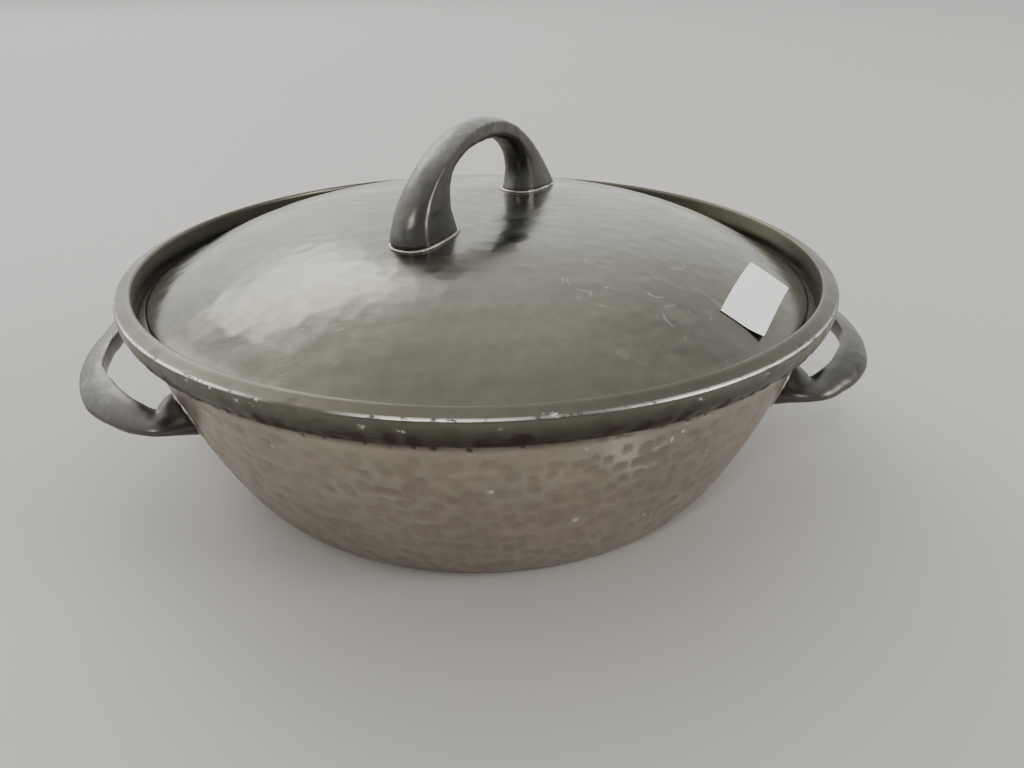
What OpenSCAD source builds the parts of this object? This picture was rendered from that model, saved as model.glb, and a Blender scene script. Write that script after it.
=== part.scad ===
// Lidded round serving dish in hammered pewter: a raised bowl with an applied
// rim, two loop handles on its sides, and a lift-off domed lid with a strap
// handle. Millimetres, +Z up, origin at the centre of the bowl's flat base,
// side handles along X.

/* [Bowl] */
// Radius of the rim, over its outer face
rim_r = 130; // [104:1:160]
// Height of the rim's top above the table
bowl_h = 79; // [64:1:98]
// Radius of the flat base
base_r = 92; // [76:1:100]
// Thickness of the raised sheet of the bowl
bowl_wall = 1.8; // [1.4:0.1:3]
// How far the wall runs out flat before it turns up from the base
base_turn = 6.5; // [3:0.5:12]
// Inward lean of the wall below the rim
wall_lean = 6; // [2:0.5:12]

/* [Rim] */
// Width of the rim, from its lip to its outer face
rim_w = 6; // [4.5:0.5:9]
// Depth of the rim's outer face
rim_h = 12.4; // [9:0.1:16]
// Depth of the seat's top face below the rim's top
seat_drop = 9.9; // [7:0.1:13]
// Width of the seat ring
seat_w = 9.8; // [7:0.1:12]
// Thickness of the seat ring
seat_t = 2; // [1.5:0.1:3]

/* [Lid] */
// Height of the dome above the lid's edge
lid_rise = 24; // [16:1:34]
// Thickness of the lid's sheet
lid_wall = 1.6; // [1.3:0.1:2.6]
// Depth of the turned-down edge
lid_edge = 1.9; // [1.4:0.1:3.5]
// Width of the flat under the lid's edge
lid_land = 3.4; // [2.5:0.1:5]
// Depth of the locating ring below the seat's top face
locate_depth = 8; // [4:0.5:14]
// Thickness of the locating ring
locate_t = 1.8; // [1.4:0.1:3]

/* [Lid handle] */
// Direction of the lid's handle, turned from the side handles
lid_turn = 58; // [0:1:180]
// Length of the handle over its two feet
strap_span = 110; // [90:1:134]
// Height of the handle above the top of the dome
strap_rise = 32; // [26:0.5:40]
// Width of the strap at its crown
strap_w = 10; // [8:0.5:14]
// Thickness of the strap at its crown
strap_t = 6.6; // [5:0.1:8]
// Length of each foot along the strap
foot_len = 31; // [24:1:36]
// How much further out the back foot reaches than the front one
strap_lean = 4; // [0:0.5:6]

/* [Side handles] */
// Clear finger room between the rim and the bar
finger_gap = 6; // [4:0.1:14]
// Distance between the two roots of one handle
loop_span = 126; // [104:1:152]
// Height of the bar's centre below the rim's top
bar_drop = 29.2; // [24:0.1:36]
// How much lower the roots sit than the bar
root_fall = 5.2; // [2:0.1:10]
// Width of the bar
bar_w = 10; // [8:0.1:13]
// Height of the bar
bar_h = 8.6; // [7:0.1:11]

/* [Solder] */
// Width of the solder bead around a root or foot
bead_w = 1.4; // [1:0.1:3]
// Height of the solder bead over the metal under it
bead_h = 0.9; // [0.6:0.1:2]

/* [Label] */
// Length of the paper label
label_l = 46; // [36:1:56]
// Width of the paper label, in plan
label_w = 14; // [11:0.5:18]
// Thickness of the paper label
label_t = 0.3; // [0.2:0.05:0.5]

/* [Hidden] */
$fn = 120;

// Clearances between pieces that part or turn
lid_gap = 0.3;      // lid's land over the seat, and ring under the lid
locate_gap = 0.8;   // locating ring inside the seat ring

// Heights
seat_z = bowl_h - seat_drop;            // top face of the seat
wall_top = seat_z - seat_t;             // top edge of the bowl's sheet
collar_h = 1;                           // upright collar under that edge
edge_z = seat_z + lid_gap + lid_edge;   // top of the lid's edge
lid_top = edge_z + lid_rise;
crown_z = lid_top + strap_rise;
bar_z = bowl_h - bar_drop;
root_z = bar_z - root_fall;

// Radii
lip_r = rim_r - rim_w;                  // inner face of the rim
lip_undercut = 0.4;                     // the lip overhangs the channel by this
channel_r = lip_r - lip_undercut;       // where the seat meets the rim
rim_back = 1.2;                         // thickness of the rim behind the channel
wall_r = channel_r - rim_back;          // outside of the bowl's collar
seat_in = channel_r - seat_w;           // inside of the seat ring
locate_r = seat_in - locate_gap;        // outside of the locating ring
channel_w = 3;                          // open channel around the lid
lid_r = channel_r - channel_w;

// Outlines
function bezier(p, t) = pow(1 - t, 3) * p[0] + 3 * t * pow(1 - t, 2) * p[1]
    + 3 * t * t * (1 - t) * p[2] + pow(t, 3) * p[3];
function bezier_slope(p, t) = pow(1 - t, 2) * (p[1] - p[0])
    + 2 * t * (1 - t) * (p[2] - p[1]) + t * t * (p[3] - p[2]);
function side_of(v) = [v[1], -v[0]] / norm(v);
function reversed(list) = [for (i = [len(list) - 1:-1:0]) list[i]];

WALL_STEPS = 22;
WALL_FULL = 0.58;   // share of its height at which the wall is pulled fullest
wall_curve = [[base_r, 0], [base_r + base_turn, 0],
    [wall_r - wall_lean, (wall_top - collar_h) * WALL_FULL], [wall_r, wall_top - collar_h]];
function wall_at(t, out) = bezier(wall_curve, t) + out * side_of(bezier_slope(wall_curve, t));
// The wall's surface, moved out by `out`, from the base to the collar
function wall_side(out) = [for (i = [0:WALL_STEPS]) wall_at(i / WALL_STEPS, out)];
// Radius of the outside of the wall at height z
function wall_radius(z) = lookup(z, [for (p = wall_side(0)) [p[1], p[0]]]);

LID_STEPS = 26;
DOME_FLAT = 4;      // the higher, the flatter the top of the dome
DOME_FLARE = 1.2;   // the higher, the more the dome flares at its edge
function dome(r) = edge_z + lid_rise * pow(1 - pow(min(r / lid_r, 1), DOME_FLAT), DOME_FLARE);
function dome_side(from, to, up) =
    [for (i = [0:LID_STEPS]) let (r = from + (to - from) * i / LID_STEPS) [r, dome(r) + up]];

module bowl_shell() color("#6f6f6b") rotate_extrude() polygon(concat(
    [[0, 0]], wall_side(0), [[wall_r, wall_top], [wall_r - bowl_wall, wall_top]],
    reversed(wall_side(-bowl_wall)), [[0, bowl_wall]]));

// The rim's section: flat top, rounded corner, full outer face, undercut below
module rim_band() color("#74746f") rotate_extrude() polygon([
    [wall_r, wall_top - collar_h * 0.6], [wall_r + 2.4, bowl_h - rim_h + 0.3],
    [rim_r - 3.9, bowl_h - rim_h + 1.4], [rim_r - 1.5, bowl_h - rim_h + 3.6],
    [rim_r - 0.3, bowl_h - rim_h + 6.4], [rim_r, bowl_h - 2.6],
    [rim_r - 0.4, bowl_h - 1], [rim_r - 1.4, bowl_h - 0.1], [rim_r - 2, bowl_h],
    [lip_r + 0.6, bowl_h], [lip_r, bowl_h - 0.5],
    [channel_r, seat_z], [channel_r, wall_top], [wall_r, wall_top]]);

module lid_seat_ring() color("#6a6a66") translate([0, 0, wall_top]) difference() {
    cylinder(h = seat_t, r = channel_r);
    translate([0, 0, -1]) cylinder(h = seat_t + 2, r = seat_in);
}

module lid_shell() color("#787872") rotate_extrude() polygon(concat(
    dome_side(0, lid_r, 0), [[lid_r, seat_z + lid_gap], [lid_r - lid_land, seat_z + lid_gap]],
    reversed(dome_side(0, lid_r - lid_land, -lid_wall))));

module lid_locating_ring() color("#6a6a66") rotate_extrude() polygon([
    [locate_r, seat_z - locate_depth], [locate_r, dome(locate_r) - lid_wall - lid_gap],
    [locate_r - locate_t, dome(locate_r - locate_t) - lid_wall - lid_gap],
    [locate_r - locate_t, seat_z - locate_depth]]);

// A closed skin over rings of points, each ring with the same number of points
module skin(rings) {
    n = len(rings[0]);
    m = len(rings);
    polyhedron(
        points = [for (ring = rings) each ring],
        faces = concat(
            [[for (i = [0:n - 1]) i]],
            [[for (i = [n - 1:-1:0]) (m - 1) * n + i]],
            [for (k = [0:m - 2], i = [0:n - 1]) let (j = (i + 1) % n)
                each [[k * n + i, (k + 1) * n + i, (k + 1) * n + j],
                    [k * n + i, (k + 1) * n + j, k * n + j]]]),
        convexity = 6);
}

// A rounded-square section, spanned by the half axes a and b around c
SECTION_SIDES = 16;
SQUARENESS = 0.8;   // 1 is an ellipse, less is squarer
function signed_pow(x, p) = sign(x) * pow(abs(x), p);
function section(c, a, b) = [for (i = [0:SECTION_SIDES - 1])
    let (q = 360 * i / SECTION_SIDES)
    c + a * signed_pow(cos(q), SQUARENESS) + b * signed_pow(sin(q), SQUARENESS)];

// The bowl and the lid as full solids, to cut what is soldered on to them
module bowl_block(out) rotate_extrude() polygon(concat(
    [[0, -5], [base_r, -5]], wall_side(out), [[wall_r + out, bowl_h], [0, bowl_h]]));
module lid_block(up) rotate_extrude() polygon(concat(
    [[0, 0], [lid_r, 0]], reversed(dome_side(0, lid_r, up))));

// Side handles. Stations run from the middle of the bar to the root:
// [share of the reach, share of half the span, share of the fall,
//  width and height as shares of the bar's]
ROOT_IN = 6;   // how far the roots turn back in from the widest part of the loop
bar_u = rim_r + finger_gap + bar_w / 2;
root_v = loop_span / 2 - ROOT_IN;
root_u = sqrt(pow(wall_radius(root_z), 2) - pow(root_v, 2));
LOOP = [[1, 0, 0, 0.94, 0.98], [0.99, 0.27, 0, 0.94, 0.98], [0.9, 0.56, 0.07, 0.94, 1],
    [0.7, 0.79, 0.38, 1.18, 1.02], [0.44, 0.943, 0.68, 1, 1.02], [0.195, 1.003, 0.88, 1.08, 0.8],
    [0, 0.905, 1, 1.6, 1.25], [-0.15, 0.825, 1, 1.8, 1.4]];
LOOP_STEPS = 4;
function spline(p, i, t) = let (a = p[max(i - 1, 0)], b = p[i], c = p[i + 1],
        d = p[min(i + 2, len(p) - 1)])
    0.5 * (2 * b + (c - a) * t + (2 * a - 5 * b + 4 * c - d) * t * t
        + (3 * b - a - 3 * c + d) * pow(t, 3));
loop_half = [for (i = [0:len(LOOP) - 2], k = [0:LOOP_STEPS - 1]) spline(LOOP, i, k / LOOP_STEPS)];
loop_all = concat(reversed([for (s = loop_half) if (s[1] > 0) [s[0], -s[1], s[2], s[3], s[4]]]),
    loop_half);
function loop_point(s) =
    [root_u + (bar_u - root_u) * s[0], s[1] * loop_span / 2, bar_z - root_fall * s[2]];
function loop_ring(i) = let (
        s = loop_all[i],
        ahead = loop_point(loop_all[min(i + 1, len(loop_all) - 1)])
            - loop_point(loop_all[max(i - 1, 0)]),
        n = side_of([ahead[0], ahead[1]]))
    section(loop_point(s), [-n[0], -n[1], 0] * s[3] * bar_w / 2, [0, 0, s[4] * bar_h / 2]);
module loop_bar() skin([for (i = [0:len(loop_all) - 1]) loop_ring(i)]);
module side_handle(turn) color("#6c6c72") difference() {
    rotate(turn) loop_bar();
    bowl_block(0);
}
module side_handle_left() side_handle(180);
module side_handle_right() side_handle(0);

// Solder around one root: a low skin on the wall, outside the handle
root_az = asin(root_v / wall_radius(root_z));
PAD_W = 0.84;   // half width of a root's pad, as a share of the bar's width
PAD_H = 0.66;   // half height of a root's pad, as a share of the bar's height
PAD_LEAN = 0.12;   // how much the solder follows the wall's lean
module root_solder(turn, end) color("#8c8c86") difference() {
    intersection() {
        bowl_block(bead_h);
        rotate(turn + end * root_az) skin([for (u = [-bar_w, bar_w])
            section([wall_radius(root_z) + u, 0, root_z - u * PAD_LEAN],
                [0, bar_w * PAD_W + bead_w, 0], [0, 0, bar_h * PAD_H + bead_w])]);
    }
    bowl_block(0);
    rotate(turn) loop_bar();
}
module solder_left_front() root_solder(180, 1);
module solder_left_back() root_solder(180, -1);
module solder_right_front() root_solder(0, -1);
module solder_right_back() root_solder(0, 1);

// Lid handle: a strap spanned between an inner and an outer curve
SINK = 2.5;   // how far the curves start under the dome before they are cut
STRAP_STEPS = 18;
foot_z = lid_top - SINK;
FOOT_FLARE = 0.58;   // how much wider a foot is than the crown
OUT_RISE = 0.5;      // share of the height that each curve's foot end pulls up by
IN_RISE = 0.83;
BACK_DRAW = 14;      // how far each foot's outer curve draws in as it rises
FRONT_DRAW = -2;
IN_DRAW = 10.8;      // how far the inner curve draws out from a foot
CROWN_OUT = 0.225;   // half length of the level crown, as a share of the span
BACK_CROWN_IN = 0.1;
FRONT_CROWN_IN = 0.22;
inner_z = crown_z - strap_t;
// Outer edge of a foot, where m is 1 for the back foot and -1 for the front one
function foot_out(m) = strap_span / 2 + 1 + m * strap_lean / 2;
function foot_in(m) = foot_out(m) - foot_len;
// The back leg runs straighter down than the front one
function outer_curve(m) = [[foot_out(m), foot_z],
    [foot_out(m) - (m > 0 ? BACK_DRAW : FRONT_DRAW), foot_z + (crown_z - foot_z) * OUT_RISE],
    [strap_span * CROWN_OUT, crown_z], [0, crown_z]];
function inner_curve(m) = [[foot_in(m), foot_z],
    [foot_in(m) + IN_DRAW, foot_z + (inner_z - foot_z) * IN_RISE],
    [strap_span * (m > 0 ? BACK_CROWN_IN : FRONT_CROWN_IN), inner_z], [0, inner_z]];
function strap_ring(t) = let (
        h = min(t, 2 - t), m = t > 1 ? -1 : 1,
        o = bezier(outer_curve(m), h), i = bezier(inner_curve(m), h),
        c = (o + i) / 2, half = (o - i) / 2)
    section([m * c[0], 0, c[1]], [m * half[0], 0, half[1]],
        [0, strap_w / 2 * (1 + FOOT_FLARE * pow(1 - h, 4)), 0]);
module strap() rotate(lid_turn) skin([for (k = [0:2 * STRAP_STEPS]) strap_ring(k / STRAP_STEPS)]);
module lid_handle() color("#6e6e70") difference() {
    strap();
    lid_block(0);
}

module foot_solder(end) color("#9a998f") difference() {
    intersection() {
        lid_block(bead_h);
        rotate(lid_turn) skin([for (z = [foot_z, crown_z])
            section([end * (foot_out(end) - foot_len / 2), 0, z],
                [foot_len / 2 + bead_w, 0, 0],
                [0, strap_w / 2 * (1 + FOOT_FLARE) + bead_w, 0])]);
    }
    lid_block(0);
    strap();
}
module lid_solder_front() foot_solder(-1);
module lid_solder_back() foot_solder(1);

// Paper label, stuck along the lid's shoulder
LABEL_AZ = -34.5;   // where it sits round the lid
LABEL_TURN = 3;     // how far it is stuck askew
label_r = lid_r - 15.6;
module paper_label() color("white") intersection() {
    difference() {
        lid_block(label_t);
        lid_block(0);
    }
    rotate(LABEL_AZ) translate([label_r, 0, edge_z + lid_rise / 2]) rotate(LABEL_TURN)
        cube([label_w, label_l, 2 * lid_rise], center = true);
}

bowl_shell();
rim_band();
lid_seat_ring();
side_handle_left();
side_handle_right();
solder_left_front();
solder_left_back();
solder_right_front();
solder_right_back();
lid_shell();
lid_locating_ring();
lid_handle();
lid_solder_front();
lid_solder_back();
paper_label();
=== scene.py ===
"""Hammered pewter serving dish: builds the dish's finished metalwork round its frame."""

import math
import random

import bmesh
import bpy
import numpy as np
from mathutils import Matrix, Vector
from mathutils.bvhtree import BVHTree
from mathutils.kdtree import KDTree


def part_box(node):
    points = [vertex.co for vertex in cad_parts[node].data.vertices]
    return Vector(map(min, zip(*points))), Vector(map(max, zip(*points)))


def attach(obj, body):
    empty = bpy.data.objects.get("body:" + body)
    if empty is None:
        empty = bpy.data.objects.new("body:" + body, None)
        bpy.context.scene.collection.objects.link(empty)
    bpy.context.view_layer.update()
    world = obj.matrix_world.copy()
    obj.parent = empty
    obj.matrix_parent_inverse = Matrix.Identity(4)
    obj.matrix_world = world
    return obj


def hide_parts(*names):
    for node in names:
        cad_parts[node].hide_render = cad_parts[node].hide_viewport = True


bl_info = {
    "name": "Hammered Pewter Dish",
    "version": (1, 0, 0),
    "blender": (4, 5, 0),
    "location": "View3D > Sidebar > Pewter Dish",
    "description": "Builds a hammered pewter serving dish with a domed lid",
    "category": "Add Mesh",
}

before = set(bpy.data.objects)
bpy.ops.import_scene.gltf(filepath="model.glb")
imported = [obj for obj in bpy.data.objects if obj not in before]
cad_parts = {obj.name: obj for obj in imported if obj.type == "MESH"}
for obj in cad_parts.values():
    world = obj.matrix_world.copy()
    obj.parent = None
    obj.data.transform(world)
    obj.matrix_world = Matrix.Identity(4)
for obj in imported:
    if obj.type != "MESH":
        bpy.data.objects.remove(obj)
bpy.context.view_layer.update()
MM = 0.001


# ---------------------------------------------------------------- the frame's own shapes


GAUGE_ANGLE = 0.3    # direction round the dish, in radians, in which round pieces are measured


class Gauge:
    """Measures a round piece of the frame by touching it with a straight ray."""

    def __init__(self, node):
        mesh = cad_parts[node].data
        self.tree = BVHTree.FromPolygons(
            [v.co for v in mesh.vertices], [p.vertices for p in mesh.polygons]
        )
        self.low, self.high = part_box(node)

    def top(self, radius):
        """Height of the upper surface at that radius."""
        c, s = math.cos(GAUGE_ANGLE), math.sin(GAUGE_ANGLE)
        start = Vector((radius * c, radius * s, self.high.z + MM))
        hit = self.tree.ray_cast(start, Vector((0, 0, -1)))[0]
        return hit.z if hit else self.low.z

    def outside(self, height):
        """Radius of the outer surface at that height."""
        way = Vector((math.cos(GAUGE_ANGLE), math.sin(GAUGE_ANGLE), 0))
        hit = self.tree.ray_cast(way * (self.high.x + 10 * MM) + Vector((0, 0, height)), -way)[0]
        return math.hypot(hit.x, hit.y) if hit else 0.0


bowl = Gauge("bowl_shell")
rim = Gauge("rim_band")
lid = Gauge("lid_shell")
RIM_R = rim.high.y
RIM_TOP = rim.high.z
RIM_LOW = rim.low.z
BOWL_TOP = bowl.high.z
LID_R = lid.high.y
LID_TOP = lid.high.z
LID_LOW = lid.low.z
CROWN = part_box("lid_handle")[1].z


# ---------------------------------------------------------------- sizes and colours


class DishSizes(bpy.types.PropertyGroup):
    """Sizes of the hand work, which the frame doesn't hold."""

    bowl_wall: bpy.props.FloatProperty(
        name="Bowl sheet", description="Thickness of the bowl's sheet",
        default=1.8 * MM, unit="LENGTH", subtype="DISTANCE", precision=4)
    lid_wall: bpy.props.FloatProperty(
        name="Lid sheet", description="Thickness of the lid's sheet",
        default=1.6 * MM, unit="LENGTH", subtype="DISTANCE", precision=4)
    mark_length: bpy.props.FloatProperty(
        name="Hammer mark length", description="Length of a hammer mark round the bowl",
        default=4.9 * MM, unit="LENGTH", subtype="DISTANCE", precision=4)
    mark_height: bpy.props.FloatProperty(
        name="Hammer mark height", description="Height of a hammer mark up the bowl",
        default=5.5 * MM, unit="LENGTH", subtype="DISTANCE", precision=4)
    mark_depth: bpy.props.FloatProperty(
        name="Hammer mark depth", description="Depth of a hammer mark",
        default=0.30 * MM, unit="LENGTH", subtype="DISTANCE", precision=5)
    facet_size: bpy.props.FloatProperty(
        name="Planishing facet", description="Width of a planishing facet on the lid",
        default=11 * MM, unit="LENGTH", subtype="DISTANCE", precision=4)
    facet_depth: bpy.props.FloatProperty(
        name="Planishing depth", description="Depth of a planishing facet on the lid",
        default=0.10 * MM, unit="LENGTH", subtype="DISTANCE", precision=5)
    seed: bpy.props.IntProperty(
        name="Seed", description="Chooses where the hammer marks fall", default=11, min=0)


class DishFinish(bpy.types.PropertyGroup):
    """Colours of the metal and the paper."""

    lid_metal: bpy.props.FloatVectorProperty(
        name="Lid", description="Colour of the lid's pewter", size=3,
        default=(0.148, 0.144, 0.117), min=0, max=1, subtype="COLOR")
    # Its warm brown tint is a painted reflection of a brown table; the pewter itself is greyer.
    bowl_tone_and_reflection: bpy.props.FloatVectorProperty(
        name="Bowl", description="Colour of the bowl's pewter", size=3,
        default=(0.385, 0.338, 0.285), min=0, max=1, subtype="COLOR")
    cast_metal: bpy.props.FloatVectorProperty(
        name="Handles", description="Colour of the cast handles", size=3,
        default=(0.118, 0.114, 0.103), min=0, max=1, subtype="COLOR")
    patina: bpy.props.FloatVectorProperty(
        name="Patina", description="Colour of the dark patina in hollows", size=3,
        default=(0.05, 0.036, 0.023), min=0, max=1, subtype="COLOR")
    # Also the colour of the painted highlights along the rim's arris and on the bowl's ridges.
    bright: bpy.props.FloatVectorProperty(
        name="Worn metal", description="Colour of the metal where it is worn bright", size=3,
        default=(0.9, 0.88, 0.83), min=0, max=1, subtype="COLOR")
    solder: bpy.props.FloatVectorProperty(
        name="Solder", description="Colour of the solder", size=3,
        default=(0.44, 0.43, 0.375), min=0, max=1, subtype="COLOR")
    paper: bpy.props.FloatVectorProperty(
        name="Paper", description="Colour of the label's paper", size=3,
        default=(0.97, 0.965, 0.95), min=0, max=1, subtype="COLOR")


class StageSettings(bpy.types.PropertyGroup):
    """The floor, the lights and the camera."""

    camera_distance: bpy.props.FloatProperty(
        name="Camera distance", description="Level distance from the dish's axis to the camera",
        default=0.3077, unit="LENGTH", subtype="DISTANCE")
    camera_height: bpy.props.FloatProperty(
        name="Camera height", description="Height of the camera above the floor",
        default=0.1774, unit="LENGTH", subtype="DISTANCE")
    camera_place: bpy.props.FloatProperty(
        name="Camera place", description="How far round the dish the camera stands",
        default=math.radians(-3.98), subtype="ANGLE")
    camera_turn: bpy.props.FloatProperty(
        name="Camera turn", description="Direction that the camera looks in, from +Y to +X",
        default=math.radians(6.22), subtype="ANGLE")
    camera_tilt: bpy.props.FloatProperty(
        name="Camera tilt", description="How far the camera looks down",
        default=math.radians(26.85), subtype="ANGLE")
    lens: bpy.props.FloatProperty(
        name="Lens", description="Focal length of the camera", default=29.36, unit="CAMERA")
    floor_colour: bpy.props.FloatVectorProperty(
        name="Floor", description="Colour of the floor", size=3,
        default=(0.50, 0.485, 0.46), min=0, max=1, subtype="COLOR")


def sizes():
    return bpy.context.scene.dish_sizes


def finish():
    return bpy.context.scene.dish_finish


# ---------------------------------------------------------------- modelling helpers


def start_clean():
    """Leaves nothing selected, so that the next operator acts on its own piece only."""
    if bpy.context.object and bpy.context.object.mode != "OBJECT":
        bpy.ops.object.mode_set(mode="OBJECT")
    bpy.ops.object.select_all(action="DESELECT")


def hold(piece):
    """Makes a piece the only one that the next operator acts on."""
    start_clean()
    bpy.context.view_layer.objects.active = piece
    piece.select_set(True)


def face_outward(piece):
    hold(piece)
    bpy.ops.object.mode_set(mode="EDIT")
    bpy.ops.mesh.select_all(action="SELECT")
    bpy.ops.mesh.normals_make_consistent(inside=False)
    bpy.ops.object.mode_set(mode="OBJECT")


def spin_profile(name, outline, steps, closed=False):
    """Draws an outline vertex by vertex from one point and spins it once round the dish."""
    start_clean()
    first = Vector((outline[0][0], 0, outline[0][1]))
    bpy.ops.mesh.primitive_plane_add(size=MM, location=first)
    piece = bpy.context.object
    piece.name = piece.data.name = name
    bpy.ops.object.transform_apply(location=True)
    bpy.ops.object.mode_set(mode="EDIT")
    bpy.ops.mesh.merge(type="CENTER")
    at = outline[0]
    for r, z in list(outline[1:]) + ([outline[0]] if closed else []):
        bpy.ops.mesh.extrude_vertices_move(
            TRANSFORM_OT_translate={"value": (r - at[0], 0, z - at[1])}
        )
        at = (r, z)
    bpy.ops.mesh.select_all(action="SELECT")
    bpy.ops.mesh.spin(
        steps=steps, angle=2 * math.pi, center=(0, 0, 0), axis=(0, 0, 1), use_auto_merge=True
    )
    bpy.ops.mesh.select_all(action="SELECT")
    bpy.ops.mesh.remove_doubles(threshold=0.02 * MM)
    bpy.ops.mesh.normals_make_consistent(inside=False)
    bpy.ops.object.mode_set(mode="OBJECT")
    return piece


def spaced(outline, step):
    """The outline with points added, so that none are further apart than step."""
    points = [outline[0]]
    for a, b in zip(outline, outline[1:]):
        n = max(1, math.ceil(math.dist(a, b) / step))
        points += [
            (a[0] + (b[0] - a[0]) * k / n, a[1] + (b[1] - a[1]) * k / n) for k in range(1, n + 1)
        ]
    return points


def points_of(piece):
    co = np.zeros(len(piece.data.vertices) * 3)
    piece.data.vertices.foreach_get("co", co)
    return co.reshape(-1, 3)


def normals_of(piece):
    no = np.zeros(len(piece.data.vertices) * 3, np.float32)
    piece.data.vertex_normals.foreach_get("vector", no)
    return no.reshape(-1, 3).astype(float)


def move_points(piece, co):
    piece.data.vertices.foreach_set("co", co.ravel())
    piece.data.update()


def keep_mask(piece, name, values):
    """Keeps a value for each vertex, which a material reads."""
    mask = piece.data.attributes.new(name, "FLOAT", "POINT")
    mask.data.foreach_set("value", values.astype(np.float32))


def ways_at(angle):
    """The outward and the sideways direction at that angle round the dish."""
    c, s = math.cos(angle), math.sin(angle)
    return np.array((c, s, 0)), np.array((-s, c, 0))


def hammer(co, blows, crisp=True):
    """Depth of overlapping hammer marks at each point. A blow is (place, across, up, half length,
    half height, depth): a shallow hollow, cut back where a deeper one crosses it."""
    tree = KDTree(len(co))
    for i, p in enumerate(co):
        tree.insert(p, i)
    tree.balance()
    depth = np.zeros(len(co))
    for place, across, up, half_l, half_h, deep in blows:
        near = [i for _, i, _ in tree.find_range(place, max(half_l, half_h) * 1.05)]
        if not near:
            continue
        away = co[near] - np.array(place)
        share = np.abs(away @ across / half_l) ** 2.4 + np.abs(away @ up / half_h) ** 2.4
        inside = np.clip(1 - share, 0, 1)
        cut = deep * (np.clip(1.5 * inside, 0, 1) ** 0.9 if crisp else inside**1.4)
        depth[near] = np.maximum(depth[near], cut)
    return depth


def waver(co, size, seed):
    """A smooth uneven value from -1 to 1 at each point, with bumps about that size."""
    rng = np.random.default_rng(seed)
    total = np.zeros(len(co))
    for _ in range(7):
        way = rng.normal(size=3)
        way *= 2 * math.pi / size * rng.uniform(0.6, 1.4) / np.linalg.norm(way)
        total += np.sin(co @ way + rng.uniform(0, 2 * math.pi))
    return total / 7


def smooth(piece, angle=None):
    hold(piece)
    if angle is None:
        bpy.ops.object.shade_smooth()
    else:
        bpy.ops.object.shade_smooth_by_angle(angle=angle)


def apply_all(piece):
    hold(piece)
    for modifier in list(piece.modifiers):
        bpy.ops.object.modifier_apply(modifier=modifier.name)


def place(piece, body, slot, metal, *nodes):
    """Hands a finished piece to the frame."""
    piece.data.materials.clear()
    piece.data.materials.append(metal)
    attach(piece, body)
    if nodes:
        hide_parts(*nodes)


# ---------------------------------------------------------------- metals and paper


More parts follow.
